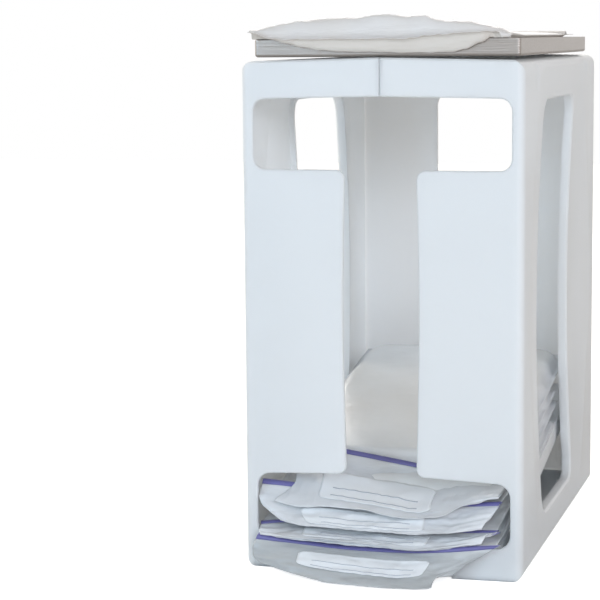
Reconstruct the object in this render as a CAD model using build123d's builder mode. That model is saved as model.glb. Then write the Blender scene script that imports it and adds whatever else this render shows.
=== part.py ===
from build123d import *
import os
from math import cos, radians, sin, tan

# A freezer box for breast milk bags. Two moulded half shells meet on a seam in the
# middle of the front and the back. Inside, a sloped floor lets flat frozen bags slide
# to the slot at the front, so that the oldest comes out first. Bags go in at the
# window on top of the front, and one more freezes flat on the steel tray on the deck.
# Frame: origin at the middle of the base, +X to the right, front at -Y, +Z up.

# Box, in millimetres. It is as wide as a bag needs. The halves are drawn off the mould
# along X, so the box is a little deeper and taller at the seam than at its two ends.
film_width = 116.0
film_side_gap = 0.4
end_depth = 237.0
end_height = 248.1
seam_draft_y = 1.5
seam_draft_z = 1.6
wall = 2.5
corner_radius = 3.8
deck_edge_radius = 6.5
foot_edge_radius = 5.0

# The side walls bow in between the corner posts, deepest at half height.
side_bow = 5.0
panel_half_length = 54.0
flank_length = 54.0

# Shallow flutes run down from the deck's edge beside each corner post and fade out.
flute_offset = 81.0
flute_depth = 1.8
flute_length = 16.0
flute_radius = 22.0

# Small breaks on the moulded edges: front and back rims, seam and openings.
rim_break = 1.0
seam_break = 0.5
opening_break = 0.6
window_break = 1.0

# Feet: the underside is raised between the four corners and notched in the front bar.
foot_lift = 2.8
foot_length = 32.0
notch_half_width = 34.8
notch_height = 9.0

# Front opening of each half: window, centre slot and dispensing slot.
window_post = 5.9
window_sill = 196.5
window_top = 230.2
window_top_rise = 1.3
window_radius = 6.0
slot_half_width = 17.5
slot_bulge = 1.7
slot_bulge_height = 128.0
slot_bulge_radius = 1500.0
panel_top_radius = 4.5
panel_foot_radius = 4.0
dispense_post = 6.1
dispense_sill = 15.4
dispense_top = 47.0
dispense_top_rise = 2.0
dispense_radius = 7.0

# Side window, with a return flange round its edge.
side_window_half_length = 50.0
side_window_sill = 17.2
side_window_top = 227.5
side_window_radius = 11.0
flange_depth = 5.2

# Rear opening, half of it in each shell.
rear_slot_half_width = 22.8
rear_slot_sill = 66.0
rear_slot_top = 227.0
rear_slot_radius = 8.0

# Tabs of the right shell that lap the left one behind the seam.
tab_width = 20.0
tab_thickness = 2.0
tab_reach = 7.0
tab_gap = 0.2
deck_tab_offset = 75.0

# Sloped floor, resting on ledges of the front and back walls.
floor_angle = 10.0
floor_thickness = 2.5
floor_end_gap = 0.5
floor_side_gap = 0.4
floor_skirt_height = 7.0
floor_skirt_wall = 2.0
ledge_gap = 0.15
ledge_depth = 4.5
ledge_height = 3.0
ledge_width = 16.0
ledge_side_gap = 2.0

# Steel freezing tray on the deck.
tray_width = 129.0
tray_depth = 211.0
tray_height = 8.2
tray_sheet = 1.0
tray_corner_radius = 1.6
tray_bend_radius = 1.4
tray_offset_x = 2.5
tray_front_setback = 2.0
tray_seat_gap = 0.3

# A filled bag: a flat frozen body, a film border, and a header with the zip.
film_border = 2.5
body_length = 165.0
body_thickness = 7.6
body_corner_radius = 14.0
body_edge_chamfer = 2.4
film_thickness = 0.4
film_height = 1.3
tail_length = 4.0
zip_setback = 5.5
header_length = 25.5
bag_gap = 0.3
header_drop = 23.0
drape_start = 2.4

# Zip: a channel in the film holds a grooved strip and the tongue strip pressed into it.
zip_width = 3.4
zip_height = 2.0
strip_width = 2.6
strip_base = 0.35
strip_depth = 1.4
groove_wall = 0.5
tongue_half_width = 0.55
zip_play = 0.1

# Write-in label on the header.
label_width = 70.0
label_length = 14.0
label_thickness = 0.15
label_radius = 2.5
label_setback = 5.0

# Where the bodies begin, measured back along the slope from the front of the box. The
# first bag is the lowest, the oldest and the next one out.
bag_1_start = 1.0
bag_2_start = 15.5
bag_3_start = 9.0
bag_4_start = 47.5

# The bag that is still soft, freezing flat on the tray with its header to the back.
soft_body_width = 108.0
soft_body_length = 160.0
soft_body_thickness = 15.0
soft_film_width = 126.0
soft_front_border = 12.0
soft_bag_offset_x = -0.5
soft_overhang = 4.0
rim_gap = 0.4

body_width = film_width - 2 * film_border
floor_half_width = film_width / 2 + film_side_gap
half_width = floor_half_width + floor_side_gap + flange_depth + side_bow
window_half_width = half_width - window_post
dispense_half_width = half_width - dispense_post
ledge_outer_x = floor_half_width - floor_skirt_wall - ledge_side_gap
ledge_inner_x = ledge_outer_x - ledge_width
overcut = 10.0
seam_depth = end_depth + 2 * seam_draft_y
seam_height = end_height + seam_draft_z
bow_centre = end_height / 2
bow_radius = (bow_centre**2 + side_bow**2) / (2 * side_bow)
inner_front = end_depth / 2 - wall
slope_rise = tan(radians(floor_angle))

os.makedirs("parts", exist_ok=True)


def half_block(inset, base):
    """The drafted half box with its rounded end, inset by a wall, standing on base."""
    end_x = half_width - inset
    with BuildPart() as block:
        with BuildSketch(Plane.XZ.offset(-half_width - seam_depth)):
            with BuildLine():
                front_view = FilletPolyline(
                    (0, base),
                    (end_x, base),
                    (end_x, end_height - inset),
                    (0, seam_height - inset),
                    radius=[foot_edge_radius - inset, deck_edge_radius - inset],
                )
                Line(front_view @ 1, front_view @ 0)
            make_face()
        extrude(amount=2 * (half_width + seam_depth))
        with BuildSketch(Plane.XY.offset(-overcut)):
            with BuildLine():
                plan_view = FilletPolyline(
                    (0, inset - seam_depth / 2),
                    (end_x, inset - end_depth / 2),
                    (end_x, end_depth / 2 - inset),
                    (0, seam_depth / 2 - inset),
                    radius=corner_radius - inset,
                )
                Line(plan_view @ 1, plan_view @ 0)
            make_face()
        extrude(amount=seam_height + 2 * overcut, mode=Mode.INTERSECT)
    return block.part


def side_recess(inset):
    """What the bow takes off the side, sunk by inset, with S-shaped flanks."""
    deep_x = half_width - side_bow - inset
    edge_x = half_width - inset
    flank_x = (deep_x + edge_x) / 2
    flank_y = panel_half_length + flank_length / 2
    edge_y = panel_half_length + flank_length
    with BuildPart() as recess:
        with BuildSketch(Plane.XY.offset(bow_centre)):
            with BuildLine():
                Line((deep_x, -panel_half_length), (deep_x, panel_half_length))
                for side in (1, -1):
                    inner = TangentArc(
                        (deep_x, side * panel_half_length), (flank_x, side * flank_y), tangent=(0, side)
                    )
                    TangentArc(inner @ 1, (edge_x, side * edge_y), tangent=inner % 1)
                    Line((edge_x, side * edge_y), (edge_x + overcut, side * edge_y))
                Line((edge_x + overcut, -edge_y), (edge_x + overcut, edge_y))
            make_face()
        revolve(axis=Axis((half_width - side_bow + bow_radius, 0, bow_centre), (0, 1, 0)))
    return recess.part


def outer_block():
    """The half box with broken rims and seam edges, its side recess and its flutes."""
    front_slope = seam_draft_y / half_width
    deck_slope = seam_draft_z / half_width
    flute_axis = Vector(flute_depth, 0, -flute_length).normalized()
    flute_out = Vector(-flute_axis.Z, 0, flute_axis.X) * flute_radius
    with BuildPart() as block:
        add(half_block(0, 0))
        for side in (-1, 1):
            rim = Vector(0, side * (seam_depth / 2 - rim_break), seam_height)
            split(bisect_by=Plane(origin=rim, z_dir=(front_slope + deck_slope, side, 1)), keep=Keep.BOTTOM)
            seam = Vector(seam_break, side * seam_depth / 2, 0)
            split(bisect_by=Plane(origin=seam, z_dir=(-1, side, 0)), keep=Keep.BOTTOM)
        deck_seam = Vector(seam_break, 0, seam_height)
        split(bisect_by=Plane(origin=deck_seam, z_dir=(-1, 0, 1)), keep=Keep.BOTTOM)
        add(side_recess(0), mode=Mode.SUBTRACT)
        for side in (-1, 1):
            flute_top = Vector(half_width - flute_depth, side * flute_offset, end_height)
            with BuildSketch(Plane(origin=flute_top + flute_out, z_dir=flute_axis)):
                Circle(flute_radius)
            extrude(amount=2 * flute_length, both=True, mode=Mode.SUBTRACT)
    return block.part


with BuildPart() as side_flange:
    with BuildSketch(Plane.YZ.offset(half_width - side_bow - flange_depth - overcut)):
        with Locations((0, (side_window_sill + side_window_top) / 2)):
            RectangleRounded(
                2 * (side_window_half_length + wall),
                side_window_top - side_window_sill + 2 * wall,
                side_window_radius + wall,
            )
    extrude(amount=side_bow + flange_depth + 2 * overcut)
    add(side_recess(flange_depth), mode=Mode.INTERSECT)
    add(side_recess(0), mode=Mode.SUBTRACT)

with BuildPart() as cavity:
    add(half_block(wall, foot_lift + wall))
    add(side_recess(wall), mode=Mode.SUBTRACT)

with BuildPart() as front_cut:
    with BuildSketch(Plane.XZ.offset(inner_front - overcut)):
        with BuildLine():
            outline = FilletPolyline(
                (-overcut, window_top + window_top_rise),
                (window_half_width, window_top),
                (window_half_width, window_sill),
                (slot_half_width, window_sill),
                (slot_half_width + slot_bulge, slot_bulge_height),
                (slot_half_width, dispense_top + dispense_top_rise),
                (dispense_half_width, dispense_top),
                (dispense_half_width, dispense_sill),
                (-overcut, dispense_sill),
                radius=[
                    window_radius,
                    window_radius,
                    panel_top_radius,
                    slot_bulge_radius,
                    panel_foot_radius,
                    dispense_radius,
                    dispense_radius,
                ],
            )
            Line(outline @ 1, outline @ 0)
        make_face()
    extrude(amount=2 * overcut)

with BuildPart() as window_cuts:
    with BuildSketch(Plane.YZ.offset(half_width - side_bow - flange_depth - overcut)):
        with Locations((0, (side_window_sill + side_window_top) / 2)):
            RectangleRounded(
                2 * side_window_half_length, side_window_top - side_window_sill, side_window_radius
            )
    extrude(amount=side_bow + flange_depth + 2 * overcut)
    with BuildSketch(Plane.XZ.offset(-inner_front - overcut)):
        with Locations((0, (rear_slot_sill + rear_slot_top) / 2)):
            RectangleRounded(2 * rear_slot_half_width, rear_slot_top - rear_slot_sill, rear_slot_radius)
    extrude(amount=2 * overcut)

with BuildPart() as foot_cuts:
    with BuildSketch(Plane.YZ):
        Rectangle(end_depth - 2 * foot_length, 2 * foot_lift)
    extrude(amount=half_width + overcut)
    with BuildSketch(Plane.XZ.offset(inner_front)):
        Rectangle(2 * notch_half_width, 2 * notch_height)
    extrude(amount=overcut)


def floor_height(y):
    """Height of the sloped floor's top surface at a distance y from the middle."""
    return dispense_sill + (y + seam_depth / 2) * slope_rise


floor_drop = (floor_thickness + ledge_gap) / cos(radians(floor_angle))
front_ledge_top = floor_height(-inner_front) - floor_drop
rear_ledge_top = floor_height(inner_front - ledge_depth) - floor_drop


def half_shell():
    """One half shell with its openings, flange and ledges, before the seam tabs."""
    with BuildPart() as shell:
        add(outer_block())
        add(cavity.part, mode=Mode.SUBTRACT)
        add(side_flange.part)
        with BuildSketch(Plane.YZ.offset(ledge_inner_x)):
            with Locations((-inner_front - wall / 2, front_ledge_top)):
                Rectangle(ledge_depth + wall / 2, ledge_height, align=(Align.MIN, Align.MAX))
            with Locations((inner_front + wall / 2, rear_ledge_top)):
                Rectangle(ledge_depth + wall / 2, ledge_height, align=(Align.MAX, Align.MAX))
        extrude(amount=ledge_outer_x - ledge_inner_x)
        for cut in (front_cut, window_cuts, foot_cuts):
            add(cut.part, mode=Mode.SUBTRACT)
        front_face = shell.faces().sort_by_distance((half_width / 2, -seam_depth / 2, bow_centre))[0]
        opening_edges = front_face.edges().filter_by(
            lambda edge: edge.center().X > 2 * seam_break
            and edge.center().X < window_half_width + opening_break
            and edge.center().Z > dispense_sill - opening_break
            and edge.center().Z < window_top + 2 * window_top_rise
        )
        chamfer(opening_edges, opening_break)
        beside_window = (half_width - side_bow, side_window_half_length + window_break, bow_centre)
        side_face = shell.faces().sort_by_distance(beside_window)[0]
        chamfer(side_face.inner_wires()[0].edges(), window_break)
    return shell.part


tab_root = seam_height - wall
tab_top = tab_root - tab_gap

with BuildPart() as right_shell:
    add(half_shell())
    with BuildSketch(Plane.XZ.offset(deck_tab_offset - tab_width / 2)):
        with BuildLine():
            Polyline(
                (tab_reach, tab_root),
                (tab_reach, tab_top - tab_thickness),
                (-tab_reach, tab_top - tab_thickness),
                (-tab_reach, tab_top - tab_gap),
                (0, tab_top),
                (0, tab_root),
                close=True,
            )
        make_face()
    deck_tab = extrude(amount=tab_width)
    mirror(deck_tab, about=Plane.XZ)
right_shell.part.label = "right_shell"
export_step(right_shell.part, "parts/right_shell.step")

with BuildPart() as left_shell:
    mirror(half_shell(), about=Plane.YZ)
left_shell.part.label = "left_shell"
export_step(left_shell.part, "parts/left_shell.step")

front_y = -seam_depth / 2
slope_up = Vector(0, cos(radians(floor_angle)), sin(radians(floor_angle)))
slope_normal = Vector(0, -sin(radians(floor_angle)), cos(radians(floor_angle)))
slope_plane = Plane(origin=(0, front_y, dispense_sill), x_dir=(1, 0, 0), z_dir=slope_normal)
floor_front = (-inner_front + floor_end_gap - front_y) / slope_up.Y
floor_back = (inner_front - floor_end_gap - front_y - floor_thickness * slope_up.Z) / slope_up.Y
floor_length = floor_back - floor_front

with BuildPart() as sloped_floor:
    with BuildSketch(Plane(origin=(-floor_half_width, front_y, dispense_sill), x_dir=slope_up, z_dir=(1, 0, 0))):
        with Locations((floor_front, 0)):
            Rectangle(floor_length, floor_thickness, align=(Align.MIN, Align.MAX))
    extrude(amount=2 * floor_half_width)
    with BuildSketch(slope_plane.offset(-floor_thickness - floor_skirt_height)):
        for side in (-1, 1):
            with Locations((side * (floor_half_width - floor_skirt_wall / 2), floor_front + floor_length / 2)):
                Rectangle(floor_skirt_wall, floor_length - 2 * floor_skirt_height)
    extrude(amount=floor_skirt_height)
sloped_floor.part.label = "sloped_floor"
export_step(sloped_floor.part, "parts/sloped_floor.step")

tray_bottom = seam_height + tray_seat_gap
tray_front_y = front_y + tray_front_setback

with BuildPart() as freezing_tray:
    with BuildSketch(Plane.XY.offset(tray_bottom)):
        with Locations((tray_offset_x, tray_front_y + tray_depth / 2)):
            RectangleRounded(tray_width, tray_depth, tray_corner_radius)
    extrude(amount=tray_height)
    fillet(freezing_tray.faces().sort_by(Axis.Z)[0].edges(), tray_bend_radius)
    offset(amount=-tray_sheet, openings=freezing_tray.faces().sort_by(Axis.Z)[-1])
freezing_tray.part.label = "freezing_tray"
export_step(freezing_tray.part, "parts/freezing_tray.step")


def export_bag(name, plane, body, film, header_drop):
    """One bag: its pouch, both zip strips and its label, each written to its own file.

    The plane lies under the frozen body with its origin at the header end, and its
    y axis points from there to the tail. The header hangs down by header_drop degrees.
    """
    width, length, thickness = body
    full_width, film_level, tail = film
    zip_y = -zip_setback
    bend_y = zip_y - drape_start
    drop = radians(header_drop)
    hang = header_length - drape_start
    section = Plane(
        origin=plane.from_local_coords(Vector(-full_width / 2, 0, 0)), x_dir=plane.y_dir, z_dir=plane.x_dir
    )
    header_plane = Plane(
        origin=plane.from_local_coords(Vector(0, bend_y, film_level)),
        x_dir=plane.x_dir,
        z_dir=plane.z_dir * cos(drop) - plane.y_dir * sin(drop),
    )

    with BuildPart() as pouch:
        with BuildSketch(plane):
            with Locations((0, length / 2)):
                RectangleRounded(width, length, body_corner_radius)
        extrude(amount=thickness)
        flat_faces = pouch.faces().filter_by(plane)
        chamfer(flat_faces.edges(), body_edge_chamfer)
        with BuildSketch(section):
            with BuildLine():
                Polyline(
                    (length + tail, film_level),
                    (bend_y, film_level),
                    (bend_y - hang * cos(drop), film_level - hang * sin(drop)),
                )
            trace(line_width=film_thickness)
            with Locations((zip_y, film_level)):
                Rectangle(zip_width, zip_height)
                Rectangle(strip_width, strip_depth, mode=Mode.SUBTRACT)
        extrude(amount=full_width)
    pouch.part.label = f"{name}_pouch"
    export_step(pouch.part, f"parts/{name}_pouch.step")

    with BuildPart() as zip_groove:
        with BuildSketch(section):
            with Locations((zip_y, film_level - strip_depth / 2)):
                Rectangle(strip_width, strip_depth - strip_base - zip_play, align=(Align.CENTER, Align.MIN))
            with Locations((zip_y, film_level - strip_depth / 2 + strip_base)):
                Rectangle(
                    strip_width - 2 * groove_wall,
                    strip_depth,
                    align=(Align.CENTER, Align.MIN),
                    mode=Mode.SUBTRACT,
                )
        extrude(amount=full_width)
    zip_groove.part.label = f"{name}_zip_groove"
    export_step(zip_groove.part, f"parts/{name}_zip_groove.step")

    with BuildPart() as zip_tongue:
        with BuildSketch(section):
            with Locations((zip_y, film_level + strip_depth / 2)):
                Rectangle(strip_width, strip_base, align=(Align.CENTER, Align.MAX))
                Rectangle(
                    2 * tongue_half_width, strip_depth - strip_base - zip_play, align=(Align.CENTER, Align.MAX)
                )
        extrude(amount=full_width)
    zip_tongue.part.label = f"{name}_zip_tongue"
    export_step(zip_tongue.part, f"parts/{name}_zip_tongue.step")

    with BuildPart() as label:
        with BuildSketch(header_plane.offset(film_thickness / 2)):
            with Locations((0, -label_setback - label_length / 2)):
                RectangleRounded(label_width, label_length, label_radius)
        extrude(amount=label_thickness)
    label.part.label = f"{name}_label"
    export_step(label.part, f"parts/{name}_label.step")


frozen_body = (body_width, body_length, body_thickness)
frozen_film = (film_width, film_height, tail_length)
for layer, start in enumerate((bag_1_start, bag_2_start, bag_3_start, bag_4_start)):
    lift = bag_gap + layer * (body_thickness + bag_gap)
    bag_origin = slope_plane.from_local_coords(Vector(0, start, lift))
    bag_plane = Plane(origin=bag_origin, x_dir=(1, 0, 0), z_dir=slope_normal)
    lowest = layer == 0
    export_bag(f"bag_{layer + 1}", bag_plane, frozen_body, frozen_film, header_drop if lowest else 0)

soft_film_z = tray_height - tray_sheet - bag_gap + rim_gap + zip_height / 2
soft_header_y = tray_front_y - soft_overhang + soft_front_border + soft_body_length
soft_origin = (soft_bag_offset_x, soft_header_y, tray_bottom + tray_sheet + bag_gap)
export_bag(
    "soft_bag",
    Plane(origin=soft_origin, x_dir=(-1, 0, 0), z_dir=(0, 0, 1)),
    (soft_body_width, soft_body_length, soft_body_thickness),
    (soft_film_width, soft_film_z, soft_front_border),
    0,
)
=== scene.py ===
from math import cos, exp, radians, sin

import bpy
import bmesh
from mathutils import Matrix, Vector, noise


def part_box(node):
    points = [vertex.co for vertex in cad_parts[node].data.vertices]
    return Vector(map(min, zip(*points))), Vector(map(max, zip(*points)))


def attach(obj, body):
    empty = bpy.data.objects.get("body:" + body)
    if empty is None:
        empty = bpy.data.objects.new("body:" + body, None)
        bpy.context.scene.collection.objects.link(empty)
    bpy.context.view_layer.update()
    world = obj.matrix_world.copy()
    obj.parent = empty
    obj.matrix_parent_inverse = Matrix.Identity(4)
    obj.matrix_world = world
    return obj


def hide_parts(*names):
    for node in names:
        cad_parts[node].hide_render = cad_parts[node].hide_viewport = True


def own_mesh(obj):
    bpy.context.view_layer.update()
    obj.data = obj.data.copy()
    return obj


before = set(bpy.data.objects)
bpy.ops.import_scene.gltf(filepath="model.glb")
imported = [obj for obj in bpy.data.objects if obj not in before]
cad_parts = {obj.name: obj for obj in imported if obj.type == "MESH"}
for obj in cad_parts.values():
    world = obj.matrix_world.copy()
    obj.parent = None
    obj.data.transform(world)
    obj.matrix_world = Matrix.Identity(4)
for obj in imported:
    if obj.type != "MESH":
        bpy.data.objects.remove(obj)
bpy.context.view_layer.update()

# ---------------------------------------------------------------------------------------
# Studio. The box stands on a pale sweep that shows as white. Five broad lamps light it: two
# from the front right, one from the front left, one from the left and one from behind.
# ---------------------------------------------------------------------------------------
camera_data = bpy.data.cameras.new("camera")
camera_data.lens = 123.335
camera_data.sensor_width = 36.0
camera_data.clip_end = 20.0
camera = bpy.data.objects.new("camera", camera_data)
bpy.context.scene.collection.objects.link(camera)
camera_place = Vector((0.23107, -1.06707, 0.26062))
camera_right = Vector((0.961747, 0.273795, -0.008926))
camera_up = Vector((-0.02652, 0.125488, 0.991741))
camera_back = Vector((0.272654, -0.953566, 0.127948))
camera_turn = Matrix((camera_right, camera_up, camera_back)).transposed().to_4x4()
camera.matrix_world = Matrix.Translation(camera_place) @ camera_turn
bpy.context.scene.camera = camera


def new_material(name, color, roughness):
    """A material with its Principled shader, and that shader's node and tree."""
    material = bpy.data.materials.new(name)
    material.use_nodes = True
    shader = material.node_tree.nodes["Principled BSDF"]
    shader.inputs["Base Color"].default_value = (*color, 1)
    shader.inputs["Roughness"].default_value = roughness
    return material, shader, material.node_tree


floor_size = 6.0
floor_glow = 0.80
bpy.ops.mesh.primitive_plane_add(size=floor_size, location=(0, 0, 0))
sweep = bpy.context.object
sweep.name = "studio_floor"
sweep_material, sweep_shader, sweep_tree = new_material("studio_white", (0.90, 0.90, 0.90), 0.9)
sweep_rays = sweep_tree.nodes.new("ShaderNodeLightPath")
sweep_seen = sweep_tree.nodes.new("ShaderNodeMath")
sweep_seen.operation = "MULTIPLY"
sweep_seen.inputs[1].default_value = floor_glow
sweep_shader.inputs["Emission Color"].default_value = (1, 1, 1, 1)
sweep_tree.links.new(sweep_rays.outputs["Is Camera Ray"], sweep_seen.inputs[0])
sweep_tree.links.new(sweep_seen.outputs["Value"], sweep_shader.inputs["Emission Strength"])
sweep.data.materials.append(sweep_material)


def add_area_light(name, place, aim, size, power, color):
    data = bpy.data.lights.new(name, "AREA")
    data.shape = "RECTANGLE"
    data.size, data.size_y = size
    data.energy = power
    data.color = color
    lamp = bpy.data.objects.new(name, data)
    lamp.location = place
    lamp.rotation_mode = "QUATERNION"
    lamp.rotation_quaternion = (Vector(aim) - Vector(place)).to_track_quat("-Z", "Y")
    bpy.context.scene.collection.objects.link(lamp)


box_middle = (0, 0, 0.13)
add_area_light("key", (0.42, -1.95, 0.81), box_middle, (0.6, 0.6), 8, (0.70, 0.85, 1))
add_area_light("side", (1.45, -1.35, 0.80), box_middle, (0.7, 0.7), 12, (0.83, 0.89, 1))
add_area_light("front", (-1.15, -1.75, 0.45), box_middle, (0.9, 0.7), 8.5, (0.50, 0.76, 1))
add_area_light("left", (-1.5, 0.45, 0.75), (0, 0, 0.10), (0.9, 0.9), 9, (1, 0.97, 0.93))
add_area_light("back", (-0.25, 1.6, 1.0), (0, 0, 0.06), (1.0, 0.8), 7, (1, 0.98, 0.96))

world = bpy.data.worlds.new("world")
bpy.context.scene.world = world
world.use_nodes = True
world_nodes, world_links = world.node_tree.nodes, world.node_tree.links
room_light = world_nodes["Background"]
room_light.inputs["Color"].default_value = (1.0, 0.90, 0.78, 1)
room_light.inputs["Strength"].default_value = 0.30
white_room = world_nodes.new("ShaderNodeBackground")
white_room.inputs["Color"].default_value = (1, 1, 1, 1)
room_rays = world_nodes.new("ShaderNodeLightPath")
seen_room = world_nodes.new("ShaderNodeMath")
seen_room.operation = "MAXIMUM"
seen_through = world_nodes.new("ShaderNodeMath")
seen_through.operation = "MAXIMUM"
room_mix = world_nodes.new("ShaderNodeMixShader")
world_links.new(room_rays.outputs["Is Camera Ray"], seen_room.inputs[0])
world_links.new(room_rays.outputs["Is Glossy Ray"], seen_room.inputs[1])
world_links.new(seen_room.outputs["Value"], seen_through.inputs[0])
world_links.new(room_rays.outputs["Is Transmission Ray"], seen_through.inputs[1])
world_links.new(seen_through.outputs["Value"], room_mix.inputs["Fac"])
world_links.new(room_light.outputs["Background"], room_mix.inputs[1])
world_links.new(white_room.outputs["Background"], room_mix.inputs[2])
world_links.new(room_mix.outputs["Shader"], world_nodes["World Output"].inputs["Surface"])
bpy.context.scene.view_settings.view_transform = "Standard"


# ---------------------------------------------------------------------------------------
# Shells and floor. Two injection-moulded halves in white satin plastic, snapped together
# on the seam, with a loose moulded floor inside. The mould leaves a very fine grain.
# ---------------------------------------------------------------------------------------
def add_node(tree, kind, place, **settings):
    """A new shader node with some of its settings."""
    node = tree.nodes.new(kind)
    node.location = place
    for name, value in settings.items():
        setattr(node, name, value)
    return node


grain_inputs = (("Scale", 400.0), ("Depth", 0.2), ("Stretch", 1.0), ("Low", 0.0), ("High", 1.0))
grain_group = bpy.data.node_groups.new("surface_grain", "ShaderNodeTree")
for name, default in grain_inputs:
    socket = grain_group.interface.new_socket(name, in_out="INPUT", socket_type="NodeSocketFloat")
    socket.default_value = default
grain_group.interface.new_socket("Value", in_out="OUTPUT", socket_type="NodeSocketFloat")
grain_group.interface.new_socket("Normal", in_out="OUTPUT", socket_type="NodeSocketVector")
grain_in = add_node(grain_group, "NodeGroupInput", (-900, 0))
grain_out = add_node(grain_group, "NodeGroupOutput", (500, 0))
grain_place = add_node(grain_group, "ShaderNodeTexCoord", (-900, 300))
grain_stretch = add_node(grain_group, "ShaderNodeCombineXYZ", (-700, -100))
grain_stretch.inputs["Y"].default_value = 1.0
grain_stretch.inputs["Z"].default_value = 1.0
grain_scaled = add_node(grain_group, "ShaderNodeVectorMath", (-500, 200), operation="MULTIPLY")
grain_noise = add_node(grain_group, "ShaderNodeTexNoise", (-300, 200))
grain_noise.inputs["Detail"].default_value = 3.0
grain_range = add_node(grain_group, "ShaderNodeMapRange", (0, 200))
grain_bump = add_node(grain_group, "ShaderNodeBump", (200, -100))
grain_bump.inputs["Distance"].default_value = 0.0004
grain_links = grain_group.links
grain_links.new(grain_in.outputs["Stretch"], grain_stretch.inputs["X"])
grain_links.new(grain_place.outputs["Object"], grain_scaled.inputs[0])
grain_links.new(grain_stretch.outputs["Vector"], grain_scaled.inputs[1])
grain_links.new(grain_scaled.outputs["Vector"], grain_noise.inputs["Vector"])
grain_links.new(grain_in.outputs["Scale"], grain_noise.inputs["Scale"])
grain_links.new(grain_noise.outputs["Fac"], grain_range.inputs["Value"])
grain_links.new(grain_in.outputs["Low"], grain_range.inputs["To Min"])
grain_links.new(grain_in.outputs["High"], grain_range.inputs["To Max"])
grain_links.new(grain_noise.outputs["Fac"], grain_bump.inputs["Height"])
grain_links.new(grain_in.outputs["Depth"], grain_bump.inputs["Strength"])
grain_links.new(grain_range.outputs["Result"], grain_out.inputs["Value"])
grain_links.new(grain_bump.outputs["Normal"], grain_out.inputs["Normal"])


def add_grain(tree, *values):
    """The grain group, set to a scale, depth, stretch, and lowest and highest value."""
    node = add_node(tree, "ShaderNodeGroup", (-600, 0), node_tree=grain_group)
    for (name, _), value in zip(grain_inputs, values):
        node.inputs[name].default_value = value
    return node


def dress(node, material):
    """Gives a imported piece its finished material."""
    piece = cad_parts[node]
    piece.data.materials.clear()
    piece.data.materials.append(material)


shell_white = (0.90, 0.935, 0.965)
shell_depth_of_light = 0.006
shell_material, shell_shader, shell_tree = new_material("shell_plastic", shell_white, 0.42)
shell_shader.inputs["Subsurface Weight"].default_value = 1.0
shell_shader.inputs["Subsurface Radius"].default_value = (1.0, 1.0, 1.0)
shell_shader.inputs["Subsurface Scale"].default_value = shell_depth_of_light
shell_grain = add_grain(shell_tree, 900, 0.08, 1, 0.36, 0.48)
shell_tree.links.new(shell_grain.outputs["Value"], shell_shader.inputs["Roughness"])
shell_tree.links.new(shell_grain.outputs["Normal"], shell_shader.inputs["Normal"])
for node in ("left_shell", "right_shell", "sloped_floor"):
    dress(node, shell_material)

# ---------------------------------------------------------------------------------------
# Freezing tray. Thin stainless sheet with its four sides folded up, brushed along the
# sides, lying loose on the deck.
# ---------------------------------------------------------------------------------------
steel_color = (0.37, 0.33, 0.30)
tray_material, tray_shader, tray_tree = new_material("tray_steel", steel_color, 0.30)
tray_shader.inputs["Metallic"].default_value = 1.0
tray_grain = add_grain(tray_tree, 1600, 0.35, 0.03, 0.22, 0.45)
tray_tree.links.new(tray_grain.outputs["Value"], tray_shader.inputs["Roughness"])
tray_tree.links.new(tray_grain.outputs["Normal"], tray_shader.inputs["Normal"])
dress("freezing_tray", tray_material)

# ---------------------------------------------------------------------------------------
# Milk bodies. Each frozen bag is breast milk between two clear films that are welded along
# their border, frozen flat and stacked on the slope, the oldest at the bottom. At the front
# the film runs on to the zip.
# ---------------------------------------------------------------------------------------
mm = 0.001
slope = radians(10)
slope_up = Vector((0, cos(slope), sin(slope)))
slope_normal = Vector((0, -sin(slope), cos(slope)))
slope_start = Vector((0, -120 * mm, 15.4 * mm))
bag_thickness = 7.6 * mm
bag_gap = 0.3 * mm
film_level = 1.3 * mm
film_half_thickness = 0.12 * mm
border_half_width = 58 * mm
body_half_width = 55.5 * mm
body_corner = 14 * mm
body_roll = 6 * mm
body_rows = 70
column_count = 90
tail = 4 * mm
film_run = 9 * mm
join_run = film_run + 7 * mm
thin_front_run = 24 * mm
lowest_body_z = 15.2 * mm
body_starts = {"bag_1": 11 * mm, "bag_2": 22 * mm, "bag_3": 27 * mm, "bag_4": 42 * mm}
body_ends = {"bag_1": 166 * mm, "bag_2": 180.5 * mm, "bag_3": 174 * mm, "bag_4": 212.5 * mm}
front_fullness = {"bag_1": 1.0, "bag_2": 1.0, "bag_3": 0.8, "bag_4": 1.0}


def along(points, share):
    """The point at a share of the way through a list of points, on a smooth curve."""
    place = share * (len(points) - 1)
    index = min(int(place), len(points) - 2)
    t = place - index
    near, far = points[index], points[index + 1]
    before = points[index - 1] if index > 0 else near
    after = points[index + 2] if index + 2 < len(points) else far
    near_slope, far_slope = (far - before) / 2, (after - near) / 2
    a, b = 2 * t**3 - 3 * t**2 + 1, t**3 - 2 * t**2 + t
    return near * a + near_slope * b + far * (3 * t**2 - 2 * t**3) + far_slope * (t**3 - t**2)


def wrinkle(place, scale, seed):
    """Smooth noise from about -1 to 1."""
    return noise.noise(Vector(place) * scale + Vector((seed * 7.3, seed * 3.1, seed * 5.7)))


def clamp(share):
    """A share held between 0 and 1."""
    return max(0.0, min(1.0, share))


def ease(share):
    """A share from 0 to 1, starting and ending softly."""
    share = clamp(share)
    return share * share * (3 - 2 * share)


def rounded(share):
    """How far a rolled edge has risen at a share of its run, as a quarter of a circle."""
    return (1 - (1 - share) ** 2) ** 0.5


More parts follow.
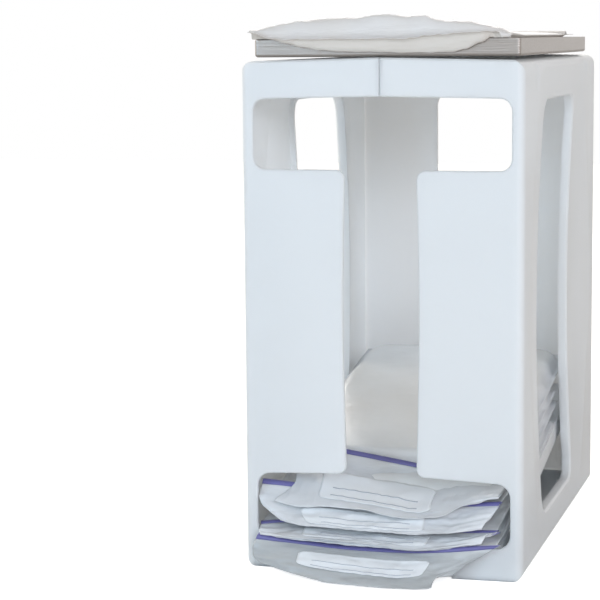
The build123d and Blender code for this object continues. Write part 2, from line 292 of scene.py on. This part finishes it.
def closed_sheet(name, upper, lower, fill=None):
    """A mesh between two grids of points that meet all round, with optional fill grids."""
    rows, columns = len(upper), len(upper[0])
    points = [p for row in upper for p in row] + [p for row in lower for p in row]
    half = rows * columns
    faces = []
    for r in range(rows - 1):
        for c in range(columns - 1):
            a = r * columns + c
            faces.append((a, a + 1, a + columns + 1, a + columns))
            faces.append((half + a, half + a + columns, half + a + columns + 1, half + a + 1))
    rim = list(range(columns))
    rim += [r * columns + columns - 1 for r in range(1, rows)]
    rim += [(rows - 1) * columns + c for c in range(columns - 2, -1, -1)]
    rim += [r * columns for r in range(rows - 2, 0, -1)]
    for a, b in zip(rim, rim[1:] + rim[:1]):
        faces.append((b, a, half + a, half + b))
    mesh = bpy.data.meshes.new(name)
    mesh.from_pydata([tuple(p) for p in points], [], faces)
    if fill is not None:
        attribute = mesh.attributes.new("fill", "FLOAT", "POINT")
        values = [v for grid in fill for row in grid for v in row]
        attribute.data.foreach_set("value", values)
    sheet = bmesh.new()
    sheet.from_mesh(mesh)
    bmesh.ops.recalc_face_normals(sheet, faces=sheet.faces)
    sheet.to_mesh(mesh)
    sheet.free()
    mesh.polygons.foreach_set("use_smooth", [True] * len(mesh.polygons))
    piece = bpy.data.objects.new(name, mesh)
    bpy.context.scene.collection.objects.link(piece)
    return piece


film_group = bpy.data.node_groups.new("milk_film", "ShaderNodeTree")
for name, kind in (
    ("Fill", "NodeSocketFloat"),
    ("Clear Alpha", "NodeSocketFloat"),
    ("Clear Film", "NodeSocketColor"),
    ("Thin Milk", "NodeSocketColor"),
    ("Thick Milk", "NodeSocketColor"),
):
    film_group.interface.new_socket(name, in_out="INPUT", socket_type=kind)
film_group.interface.new_socket("Color", in_out="OUTPUT", socket_type="NodeSocketColor")
film_group.interface.new_socket("Alpha", in_out="OUTPUT", socket_type="NodeSocketFloat")
film_group.interface.new_socket("Normal", in_out="OUTPUT", socket_type="NodeSocketVector")
film_in = add_node(film_group, "NodeGroupInput", (-1300, -100))
film_out = add_node(film_group, "NodeGroupOutput", (0, 0))
film_place = add_node(film_group, "ShaderNodeTexCoord", (-1300, 300))
milk_cloud = add_node(film_group, "ShaderNodeTexNoise", (-1100, 300))
milk_cloud.inputs["Scale"].default_value = 38
milk_cloud.inputs["Detail"].default_value = 5
milk = add_node(film_group, "ShaderNodeMix", (-800, 300), data_type="RGBA")
tone = add_node(film_group, "ShaderNodeMix", (-500, 300), data_type="RGBA")
film_alpha = add_node(film_group, "ShaderNodeMapRange", (-500, -100))
film_alpha.inputs["To Max"].default_value = 1.0
crease_stretch = add_node(film_group, "ShaderNodeVectorMath", (-1100, -500), operation="MULTIPLY")
crease_stretch.inputs[1].default_value = (0.35, 1.0, 1.6)
creases = add_node(film_group, "ShaderNodeTexNoise", (-800, -500))
creases.inputs["Scale"].default_value = 210
creases.inputs["Detail"].default_value = 4
crease_bump = add_node(film_group, "ShaderNodeBump", (-300, -500))
crease_bump.inputs["Strength"].default_value = 0.6
crease_bump.inputs["Distance"].default_value = 0.001
film_links = film_group.links
film_links.new(film_place.outputs["Object"], milk_cloud.inputs["Vector"])
film_links.new(milk_cloud.outputs["Fac"], milk.inputs["Factor"])
film_links.new(film_in.outputs["Thin Milk"], milk.inputs["A"])
film_links.new(film_in.outputs["Thick Milk"], milk.inputs["B"])
film_links.new(film_in.outputs["Fill"], tone.inputs["Factor"])
film_links.new(film_in.outputs["Clear Film"], tone.inputs["A"])
film_links.new(milk.outputs["Result"], tone.inputs["B"])
film_links.new(tone.outputs["Result"], film_out.inputs["Color"])
film_links.new(film_in.outputs["Fill"], film_alpha.inputs["Value"])
film_links.new(film_in.outputs["Clear Alpha"], film_alpha.inputs["To Min"])
film_links.new(film_alpha.outputs["Result"], film_out.inputs["Alpha"])
film_links.new(film_place.outputs["Object"], crease_stretch.inputs[0])
film_links.new(crease_stretch.outputs["Vector"], creases.inputs["Vector"])
film_links.new(creases.outputs["Fac"], crease_bump.inputs["Height"])
film_links.new(crease_bump.outputs["Normal"], film_out.inputs["Normal"])


def make_film(name, clear_film, clear_alpha, thin_milk, thick_milk):
    """Film that is see-through where it is empty and the colour of milk where it is filled."""
    material, shader, tree = new_material(name, clear_film, 0.35)
    fill = add_node(tree, "ShaderNodeAttribute", (-800, 0), attribute_name="fill")
    film = add_node(tree, "ShaderNodeGroup", (-500, 0), node_tree=film_group)
    film.inputs["Clear Alpha"].default_value = clear_alpha
    film.inputs["Clear Film"].default_value = (*clear_film, 1)
    film.inputs["Thin Milk"].default_value = (*thin_milk, 1)
    film.inputs["Thick Milk"].default_value = (*thick_milk, 1)
    tree.links.new(fill.outputs["Fac"], film.inputs["Fill"])
    tree.links.new(film.outputs["Color"], shader.inputs["Base Color"])
    tree.links.new(film.outputs["Alpha"], shader.inputs["Alpha"])
    tree.links.new(film.outputs["Normal"], shader.inputs["Normal"])
    shader.inputs["Coat Weight"].default_value = 0.25
    shader.inputs["Coat Roughness"].default_value = 0.2
    return material


film_material = make_film(
    "bag_film", (0.94, 0.955, 0.98), 0.75, (0.96, 0.95, 0.93), (1.0, 0.99, 0.965)
)


def lay_milk_body(bag, order, zip_line):
    """A bag's milk in its film, from behind its zip to its closed end."""
    start, end = body_starts[bag], body_ends[bag]
    film_start = start - film_run
    level = bag_gap + order * (bag_thickness + bag_gap) + film_level
    fullness = front_fullness[bag]
    upper, lower, fill = [], [], []
    for row in range(body_rows + 1):
        u = film_start + row / body_rows * (end + tail - film_start)
        upper_row, lower_row, fill_row = [], [], []
        for column in range(column_count + 1):
            across = column / column_count
            x = (2 * across - 1) * border_half_width
            inside_x = body_half_width - abs(x)
            inside_u = min(u - start, end - u)
            corner_x, corner_u = body_corner - inside_x, body_corner - inside_u
            if corner_x > 0 and corner_u > 0:
                depth = body_corner - (corner_x**2 + corner_u**2) ** 0.5
            else:
                depth = min(inside_x, inside_u)
            depth += 1.2 * mm * wrinkle((x, u, 0), 60, order)
            rolled = clamp(depth / body_roll)
            swell = rounded(rolled)
            swell *= fullness + (1 - fullness) * clamp((u - start) / thin_front_run)

            middle = slope_start + Vector((x, 0, 0)) + slope_up * u + slope_normal * level
            from_zip = along(zip_line, across) + slope_up * (u - film_start)
            middle = middle.lerp(from_zip, ease(1 - (u - film_start) / join_run))
            middle.z = max(middle.z, lowest_body_z)

            slack = (1 - rolled) * 0.5 * mm * wrinkle((x, u, 0), 130, order + 5)
            ripple = 0.18 * mm * wrinkle((x, u, 0), 90, order + 9)
            ripple += 0.12 * mm * wrinkle((x, u, 0), 240, order + 2)
            above = swell * (bag_thickness - film_level - 0.35 * mm + ripple)
            below = swell * (film_level - 0.1 * mm)
            upper_row.append(middle + slope_normal * (above + film_half_thickness + slack))
            lower_row.append(middle - slope_normal * (below + film_half_thickness - slack))

            milk_in_border = 0.9 - 1.1 * ease((u - start) / (2 * body_corner))
            fill_row.append(clamp(milk_in_border + 1.6 * rolled))
        upper.append(upper_row)
        lower.append(lower_row)
        fill.append(fill_row)
    body = closed_sheet(f"{bag}_milk_body", upper, lower, (fill, fill))
    body.data.materials.append(film_material)
    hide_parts(f"{bag}_pouch")
    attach(body, bag)


# ---------------------------------------------------------------------------------------
# Header leaves. The two clear films of a bag run on past its zip as a limp header, which
# hangs out of the slot, creased and folded. The lowest bag's leaves take a darker copy of
# the film, which is painted shade.
# ---------------------------------------------------------------------------------------
# A darker copy of the bag film, painted shade, for the lowest bag's leaves.
shaded_film = make_film(
    "shaded_bag_film", (0.60, 0.62, 0.63), 0.8, (0.7, 0.7, 0.68), (0.8, 0.8, 0.78)
)
header_length = 24 * mm
leaf_rows = 34
leaf_gap = 0.3 * mm
lowest_film_z = 0.5 * mm

# Each bag's lines across, from the left end to the right one, in millimetres: its zip,
# then a line at a third and at two thirds of the header, and its two leaves' free edges.
headers = {
    "bag_1": {
        "zip": [
            (-62, -122.5, 16), (-41, -125, 15.1), (-20, -126.5, 14), (0, -127, 13.9),
            (20, -126.5, 14.4), (39, -124.5, 15.8), (57, -122, 17.4),
        ],
        "upper": [
            (-64, -123.5, 11), (-43, -129.5, 11), (-21, -132.5, 10.4), (0, -133, 9.6),
            (19, -132, 9.4), (36, -128, 10.6), (51, -123, 13.4),
        ],
        "middle": [
            (-63, -124.5, 6), (-43, -133, 6.2), (-22, -138.5, 5), (-2, -140, 4.2),
            (17, -139, 4), (32, -132.5, 5.6), (44, -125, 9.6),
        ],
        "front_edge": [
            (-59, -126, 3.2), (-47, -132.5, 2.4), (-36, -138, 1.6), (-25, -142.5, 0.8),
            (-12, -145, 0.6), (1, -146, 0.6), (14, -146, 0.8), (29.5, -143.5, 1.1),
            (27.5, -137, 3.2), (37, -129, 3.8),
        ],
        "back_edge": [
            (-54, -124.5, 4.4), (-40, -131.5, 2.6), (-22, -137.5, 0.9), (-4, -140, 0.8),
            (13, -139, 1), (28, -132, 3), (42, -125, 8.8),
        ],
    },
    "bag_2": {
        "zip": [
            (-62.5, -114, 20.6), (-46, -114, 22.4), (-20, -114, 23), (0, -114, 22.8),
            (19, -114, 22.3), (38, -114.5, 22), (56, -115, 23),
        ],
        "upper": [
            (-61.5, -119, 19), (-45, -120, 20.8), (-20, -121, 21.4), (0, -121, 21.2),
            (19, -121, 20.8), (38, -119.5, 21), (54, -117.5, 22.6),
        ],
        "middle": [
            (-61, -122, 18), (-44.5, -126, 19.4), (-21, -128, 19.8), (0, -128.5, 19.6),
            (19, -128, 18.8), (36, -124.5, 19.4), (52, -119.5, 22.4),
        ],
        "front_edge": [
            (-60, -124, 17.4), (-44, -130, 18.2), (-22, -132.5, 18.4), (0, -133.5, 17.8),
            (20, -134, 16.4), (33, -129, 17.4), (50, -122.5, 18.6),
        ],
        "back_edge": [
            (-58, -122.5, 16.6), (-43, -128, 17.2), (-22, -131, 17), (0, -131.5, 16.6),
            (19, -131, 15.8), (32, -127.5, 16.6), (48, -121.5, 17.8),
        ],
    },
    "bag_3": {
        "zip": [
            (-62.5, -110, 40.8), (-46, -110, 39.8), (-20, -110, 37.4), (0, -110, 36.2),
            (20, -110.5, 35.1), (40, -111.5, 34.8), (57, -112, 36.2),
        ],
        "upper": [
            (-62.5, -116, 34), (-46, -118, 32.6), (-20, -119, 32), (0, -119, 31.4),
            (19, -119, 31), (38, -117.5, 31), (55, -116, 33),
        ],
        "middle": [
            (-58, -119.5, 29.6), (-42, -124, 27.6), (-19, -126.5, 27.6), (0, -127, 27.2),
            (19, -126.5, 27), (37, -123, 27.2), (52, -118.5, 28.8),
        ],
        "front_edge": [
            (-50, -122.5, 24.8), (-36, -129, 23.9), (-18, -131, 24.3), (1, -132, 23.8),
            (20, -132, 23.6), (36, -128, 24.2), (50, -121.5, 25.6),
        ],
        "back_edge": [
            (-46, -121, 26), (-31, -127, 25.2), (-15, -128.5, 25.2), (3, -129, 25),
            (21, -128.5, 24.8), (36, -125, 25.6), (49, -119.5, 26.8),
        ],
    },
    "bag_4": {
        "zip": [
            (-58, -84, 56), (-39, -84, 54), (-19, -84, 51.2), (0, -84, 48.4),
            (19, -84.5, 45.7), (39, -85, 43.4), (57, -86, 42),
        ],
        "upper": [
            (-52, -92, 48.4), (-38, -92, 46.8), (-19, -92, 44.4), (0, -92, 41.8),
            (19, -93, 40.2), (39, -94, 40.8), (57, -95, 41.6),
        ],
        "middle": [
            (-46, -109, 41), (-34, -112, 40), (-17, -113.5, 38), (0, -114.5, 36.6),
            (19, -115, 34.8), (38, -114, 38), (57, -112, 40.6),
        ],
        "front_edge": [
            (-54, -120, 33.8), (-40, -124, 32), (-26, -125, 33.2), (-11, -127, 33),
            (3, -128, 31.6), (17, -129, 30.8), (31, -126, 31.8), (43, -119.5, 37),
            (57, -116, 39.6),
        ],
        "back_edge": [
            (-50, -117, 34.6), (-36, -121, 33.4), (-19, -123.5, 33.4), (-2, -125, 32.6),
            (14, -126, 32), (32, -121, 34.4), (55, -114.5, 39.8),
        ],
    },
}

# A limp header gives way: bag 1's lies down on the table, bag 2's is pushed up by bag 1 as
# it slides out, and bag 4's folds back inside the front wall as the bag is lifted. Nothing
# here bends them; the listed bags' header pieces only get meshes of their own.
header_gives = {
    "bag_1": ("bag_1_slide", (0, 0, 1), (0, 0, 17.4 * mm), 0.14),
    "bag_2": ("bag_1_slide", (0, 0, 1), (0, 0, 28.0 * mm), 0.50),
    "bag_4": ("bag_4_lift", (0, 1, 0), (0, -84 * mm, 0), 0.50),
}


def leaf_place(lines, across, share, seed):
    """A point of a creased film leaf and the way out of it, from its zip to its free edge."""
    guides = [along(line, across) for line in lines]
    place = along(guides, share)
    ahead = along(guides, min(1.0, share + 0.03)) - along(guides, max(0.0, share - 0.03))
    outward = Vector((1, 0, 0)).cross(-ahead).normalized()
    down = share * header_length
    fold = 0.9 * mm * wrinkle((place.x, down, 0), 55, seed + 3)
    crease = 0.75 * mm * wrinkle((place.x * 0.3, down + place.x * 0.06, 0), 260, seed + 4)
    crumple = 0.4 * mm * wrinkle((place.x, down, 0), 300, seed + 8)
    place = place + outward * ease(share * 2.5) * (fold + crease + crumple)
    place.z = max(place.z, lowest_film_z)
    return place, outward


def hang_leaf(bag, order, kind, lines):
    """The front or the back film of a header, the back one crumpled a little more."""
    upper, lower, fill = [], [], []
    for row in range(leaf_rows + 1):
        share = row / leaf_rows
        upper_row, lower_row, fill_row = [], [], []
        for column in range(column_count + 1):
            place, outward = leaf_place(lines, column / column_count, share, order)
            if kind == "front":
                shift = leaf_gap
            else:
                down = share * header_length
                crumple = 0.9 * mm * abs(wrinkle((place.x, down, 0), 170, order + 20))
                shift = -leaf_gap - crumple
            place = place + outward * shift * ease(share * 4)
            upper_row.append(place + outward * film_half_thickness)
            lower_row.append(place - outward * film_half_thickness)
            haze = 0.12 + 0.25 * max(0.0, wrinkle(place, 70, order))
            milk_by_zip = 0.95 - 3 * share
            fill_row.append(max(haze, milk_by_zip))
        upper.append(upper_row)
        lower.append(lower_row)
        fill.append(fill_row)
    leaf = closed_sheet(f"{bag}_{kind}_leaf", upper, lower, (fill, fill))
    # The lowest bag's leaves take the darker copy of the film, painted shade.
    leaf.data.materials.append(shaded_film if bag == "bag_1" else film_material)
    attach(leaf, bag)
    return leaf


# ---------------------------------------------------------------------------------------
# Zips. Two extruded violet strips welded to the films, a tongue in front that presses
# into a wider and paler groove strip behind it.
# ---------------------------------------------------------------------------------------
zip_rows = 6
zip_strips = {
    "zip_tongue": (0.4 * mm, 0.7 * mm, 1.4 * mm),
    "zip_groove": (-0.9 * mm, 1.0 * mm, 2.2 * mm),
}
zip_materials = {}
for kind, name, color in (
    ("zip_tongue", "zip_violet", (0.17, 0.16, 0.40)),
    ("zip_groove", "zip_pale_violet", (0.33, 0.315, 0.60)),
):
    zip_materials[kind], zip_shader, zip_tree = new_material(name, color, 0.35)
    zip_grain = add_grain(zip_tree, 500, 0.1, 0.1, 0.28, 0.45)
    zip_tree.links.new(zip_grain.outputs["Value"], zip_shader.inputs["Roughness"])


def weld_zip_strip(bag, kind, zip_line, next_line):
    """A crowned strip along a bag's zip line, square to the way to its next line."""
    offset, thickness, half_width = zip_strips[kind]
    upper, lower = [], []
    for row in range(zip_rows + 1):
        side = 2 * row / zip_rows - 1
        crown = 1 - side**2
        upper_row, lower_row = [], []
        for column in range(column_count + 1):
            across = column / column_count
            place = along(zip_line, across)
            ahead = (along(next_line, across) - place).normalized()
            outward = Vector((1, 0, 0)).cross(-ahead).normalized()
            base = place + ahead * side * half_width + outward * offset
            upper_row.append(base + outward * thickness * (0.4 + 0.6 * crown))
            lower_row.append(base)
        upper.append(upper_row)
        lower.append(lower_row)
    strip = closed_sheet(f"{bag}_{kind}_strip", upper, lower)
    strip.data.materials.append(zip_materials[kind])
    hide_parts(f"{bag}_{kind}")
    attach(strip, bag)
    return strip


# ---------------------------------------------------------------------------------------
# Labels. A white field printed on the front film to write in, with round corners and two
# plain grey rules. It bends with the film that it is on.
# ---------------------------------------------------------------------------------------
label_columns = 50
label_corner = 0.05
label_corner_run = 0.2
rule_inset = 0.06
mark_thickness = 0.15 * mm
label_spans = {
    "bag_1": (0.20, 0.74, 0.28, 0.66),
    "bag_2": (0.22, 0.72, 0.35, 0.85),
    "bag_3": (0.20, 0.70, 0.40, 0.90),
    "bag_4": (0.19, 0.71, 0.42, 0.84),
}
label_material, label_shader, label_tree = new_material("label_white", (0.95, 0.965, 0.98), 0.5)
label_grain = add_grain(label_tree, 700, 0.05, 1, 0.45, 0.6)
label_tree.links.new(label_grain.outputs["Value"], label_shader.inputs["Roughness"])
ink_material, ink_shader, ink_tree = new_material("rule_ink", (0.50, 0.52, 0.58), 0.5)
ink_grain = add_grain(ink_tree, 900, 0.05, 1, 0.4, 0.6)
ink_tree.links.new(ink_grain.outputs["Value"], ink_shader.inputs["Roughness"])
label_marks = (
    ("write_in_label", 20, 0.0, 1.0, 0.42 * mm, label_material),
    ("field_rule", 2, 0.54, 0.57, 0.52 * mm, ink_material),
    ("foot_rule", 2, 0.83, 0.86, 0.52 * mm, ink_material),
)


def print_mark(bag, order, front_lines, kind, rows, low, high, level, material):
    """The label's field or one of its rules, from low to high on it, over the front film."""
    left, right, near, far = label_spans[bag]
    upper, lower = [], []
    for row in range(rows + 1):
        down = low + row / rows * (high - low)
        share = near + down * (far - near)
        if kind == "write_in_label":
            edge = min(down, 1 - down)
            reach = max(0.0, label_corner_run - edge) / label_corner_run
            inset = label_corner * (1 - (1 - reach**2) ** 0.5)
        else:
            inset = rule_inset
        upper_row, lower_row = [], []
        for column in range(label_columns + 1):
            across = left + inset + column / label_columns * (right - left - 2 * inset)
            place, outward = leaf_place(front_lines, across, share, order)
            place = place + outward * leaf_gap * ease(share * 4)
            upper_row.append(place + outward * (level + mark_thickness))
            lower_row.append(place + outward * level)
        upper.append(upper_row)
        lower.append(lower_row)
    mark = closed_sheet(f"{bag}_{kind}", upper, lower)
    mark.data.materials.append(material)
    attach(mark, bag)
    if kind == "write_in_label":
        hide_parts(f"{bag}_label")
    return mark


# ---------------------------------------------------------------------------------------
# Stack. The four frozen bags, each put together from its milk body, two header leaves, two
# zip strips and its label, and laid on the one before it.
# ---------------------------------------------------------------------------------------
for order, (bag, outline) in enumerate(headers.items()):
    lines = {part: [Vector(p) * mm for p in line] for part, line in outline.items()}
    front_lines = [lines[part] for part in ("zip", "upper", "middle", "front_edge")]
    back_lines = [lines[part] for part in ("zip", "upper", "middle", "back_edge")]
    lay_milk_body(bag, order, lines["zip"])
    leaves = [
        hang_leaf(bag, order, "front", front_lines),
        hang_leaf(bag, order, "back", back_lines),
    ]
    strips = [weld_zip_strip(bag, kind, lines["zip"], lines["upper"]) for kind in zip_strips]
    marks = [print_mark(bag, order, front_lines, *mark) for mark in label_marks]
    if bag in header_gives:
        limp_strips = [] if bag == "bag_4" else strips
        for piece in leaves + limp_strips + marks:
            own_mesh(piece)

# ---------------------------------------------------------------------------------------
# Soft bag. A freshly filled pouch in the same film that freezes flat on the tray. Its
# closed end hangs over the tray's front wall, and its header and zip lie at the back.
# ---------------------------------------------------------------------------------------
tray_low, tray_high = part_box("freezing_tray")
tray_sheet = 1.0 * mm
rim_z = tray_high[2]
floor_z = tray_low[2] + tray_sheet
wall_front_y = tray_low[1]
soft_half_width = 62.5 * mm
soft_middle_x = -0.5 * mm
soft_length = 174 * mm
soft_front_y = -125.5 * mm
soft_body_rise = 7 * mm
soft_rows, soft_columns = 110, 120
row_crowding = 1.4
seam_lip = 2 * mm
front_run = 4.5 * mm
front_fullness_power = 2.2
overhang_run = 45 * mm
side_run = 22 * mm
end_run = 24 * mm
right_pull = 9 * mm
film_clearance = 0.15 * mm
floor_clearance = 0.6 * mm
rim_clearance = 0.35 * mm

# The overhanging end's lines, as x and then millimetres: how high the film stands over the
# seam, and the heights of the seam and of the belly's lowest line below it.
crown_line = [
    (-61, 1.0), (-52, 5.5), (-37, 8.6), (-23, 9.0), (-8, 10.2), (6, 11.4), (17, 10.6),
    (30, 6.9), (43, 5.0), (57, 1.6), (62, 0.6),
]
seam_line = [
    (-61, 262), (-52, 259.2), (-37, 258.7), (-13, 258.5), (11, 258.7), (30, 260),
    (44, 261.2), (55, 261.8), (62, 260.2),
]
belly_line = [
    (-61, 261.5), (-52, 258.2), (-45, 256.4), (-37.5, 254.4), (-28, 253), (-18, 252.4),
    (11, 251.8), (35, 251.9), (40.5, 253), (49, 256.2), (57, 262.4), (62, 262),
]


def read_line(line, x):
    """The height of a line at x."""
    x = x / mm
    if x <= line[0][0]:
        return line[0][1] * mm
    for (x0, z0), (x1, z1) in zip(line, line[1:]):
        if x <= x1:
            t = (x - x0) / (x1 - x0)
            return (z0 + (z1 - z0) * t * t * (3 - 2 * t)) * mm
    return line[-1][1] * mm


soft_film = make_film(
    "soft_bag_film", (0.98, 0.94, 0.91), 0.85, (0.76, 0.69, 0.61), (0.86, 0.80, 0.74)
)
upper, lower, upper_fill, lower_fill = [], [], [], []
for row in range(soft_rows + 1):
    upper_row, lower_row, upper_fill_row = [], [], []
    into = (row / soft_rows) ** row_crowding * (soft_length + seam_lip) - seam_lip
    back = ease(into / overhang_run)
    front = clamp(into / front_run)
    droop = 1 - (1 - front) ** front_fullness_power
    rise = droop**0.5
    ending = rounded(clamp((soft_length - into) / end_run))
    for column in range(soft_columns + 1):
        x = soft_middle_x + (2 * column / soft_columns - 1) * soft_half_width
        pull = right_pull * ease((x - 48 * mm) / (14 * mm)) * (1 - into / soft_length)
        y = soft_front_y + seam_lip + into + pull

        ragged = 0.55 * mm * wrinkle((x, 0, 0), 190, 35) + 0.3 * mm * wrinkle((x, 0, 0), 520, 36)
        seam = read_line(seam_line, x) + ragged
        middle = seam + (rim_z + 1.2 * mm - seam) * back
        side = rounded(min(1.0, (soft_half_width - abs(x - soft_middle_x)) / side_run))
        dome = side * ending
        body_rise = soft_body_rise * (1 - 0.8 * ease((x - 2 * mm) / (40 * mm)))
        crown = read_line(crown_line, x) * (1 - back) + body_rise * dome * back

        fold = 0.5 * mm * wrinkle((x, y, 0), 45, 31) + 0.45 * mm * wrinkle((x, y, 0), 130, 32)
        crease = 0.8 * mm * wrinkle((x * 0.35 + y * 0.4, y, 0), 210, 33)
        ridge = 0.35 * mm * wrinkle((x, y * 0.3, 0), 150, 34)
        slack = (fold + crease + ridge) * min(1.0, crown / (4 * mm))
        upper_row.append((x, y, middle + rise * (crown + slack) + film_clearance))

        inside = ease((y - (wall_front_y + 1.2 * mm)) / (5 * mm))
        outside = clamp((wall_front_y - 0.4 * mm - y) / (0.6 * mm))
        in_tray = floor_z + floor_clearance
        in_tray += (middle - floor_z - floor_clearance) * (1 - dome)
        bottom = (rim_z + rim_clearance) * (1 - inside) + in_tray * inside
        dent = 0.25 * mm * wrinkle((x, y, 0), 160, 37) * droop
        belly = seam + (read_line(belly_line, x) - seam) * rise + dent
        bottom = bottom * (1 - outside) + belly * outside
        lower_row.append((x, y, min(bottom, middle - film_clearance)))

        cloud = 0.4 * wrinkle((x, y, 0), 60, 38)
        upper_fill_row.append(clamp(0.15 + 0.3 * dome * back + cloud))
    upper.append(upper_row)
    lower.append(lower_row)
    upper_fill.append(upper_fill_row)
    lower_fill.append([1.0] * (soft_columns + 1))
soft_body = closed_sheet("soft_bag_milk_body", upper, lower, (upper_fill, lower_fill))
soft_body.data.materials.append(soft_film)
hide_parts("soft_bag_pouch")
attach(soft_body, "soft_bag")

# The header lies flat behind the body, with a low fold in front of the zip.
soft_film_z = rim_z + 1.3 * mm
soft_header_y = 50 * mm
soft_header_length = 30 * mm
header_rows = 24
fold_y = 53.6 * mm
fold_height = 1.9 * mm
fold_half_width = 1.6 * mm
upper, lower, fill = [], [], []
for row in range(header_rows + 1):
    y = soft_header_y + row / header_rows * soft_header_length
    hump = fold_height * exp(-(((y - fold_y) / fold_half_width) ** 2))
    upper_row, lower_row = [], []
    for column in range(soft_columns + 1):
        x = soft_middle_x + (2 * column / soft_columns - 1) * soft_half_width
        wave = abs(0.2 * mm * wrinkle((x, y, 0), 60, 41)) * min(1.0, row / 8)
        upper_row.append((x, y, soft_film_z + wave + hump + film_half_thickness))
        lower_row.append((x, y, soft_film_z + wave + hump - film_half_thickness))
    upper.append(upper_row)
    lower.append(lower_row)
    fill.append([0.6] * (soft_columns + 1))
soft_header = closed_sheet("soft_bag_header", upper, lower, (fill, fill))
soft_header.data.materials.append(soft_film)
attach(soft_header, "soft_bag")

soft_zip_y = 57 * mm
soft_zip_reach = 59 * mm
soft_zip_columns = 40
for kind, low, high, half_width in (
    ("zip_tongue", 0.3 * mm, 1.1 * mm, 1.15 * mm),
    ("zip_groove", -1.0 * mm, -0.2 * mm, 1.5 * mm),
):
    upper, lower = [], []
    for row in range(5):
        side = row / 2 - 1
        y = soft_zip_y + side * half_width
        crown = 1 - abs(side)
        top = soft_film_z + low + (high - low) * (0.5 + 0.5 * crown)
        reach = [2 * column / soft_zip_columns - 1 for column in range(soft_zip_columns + 1)]
        line = [soft_middle_x + share * soft_zip_reach for share in reach]
        upper.append([(x, y, top) for x in line])
        lower.append([(x, y, soft_film_z + low) for x in line])
    strip = closed_sheet(f"soft_bag_{kind}_strip", upper, lower)
    strip.data.materials.append(zip_materials[kind])
    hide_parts(f"soft_bag_{kind}")
    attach(strip, "soft_bag")
dress("soft_bag_label", label_material)
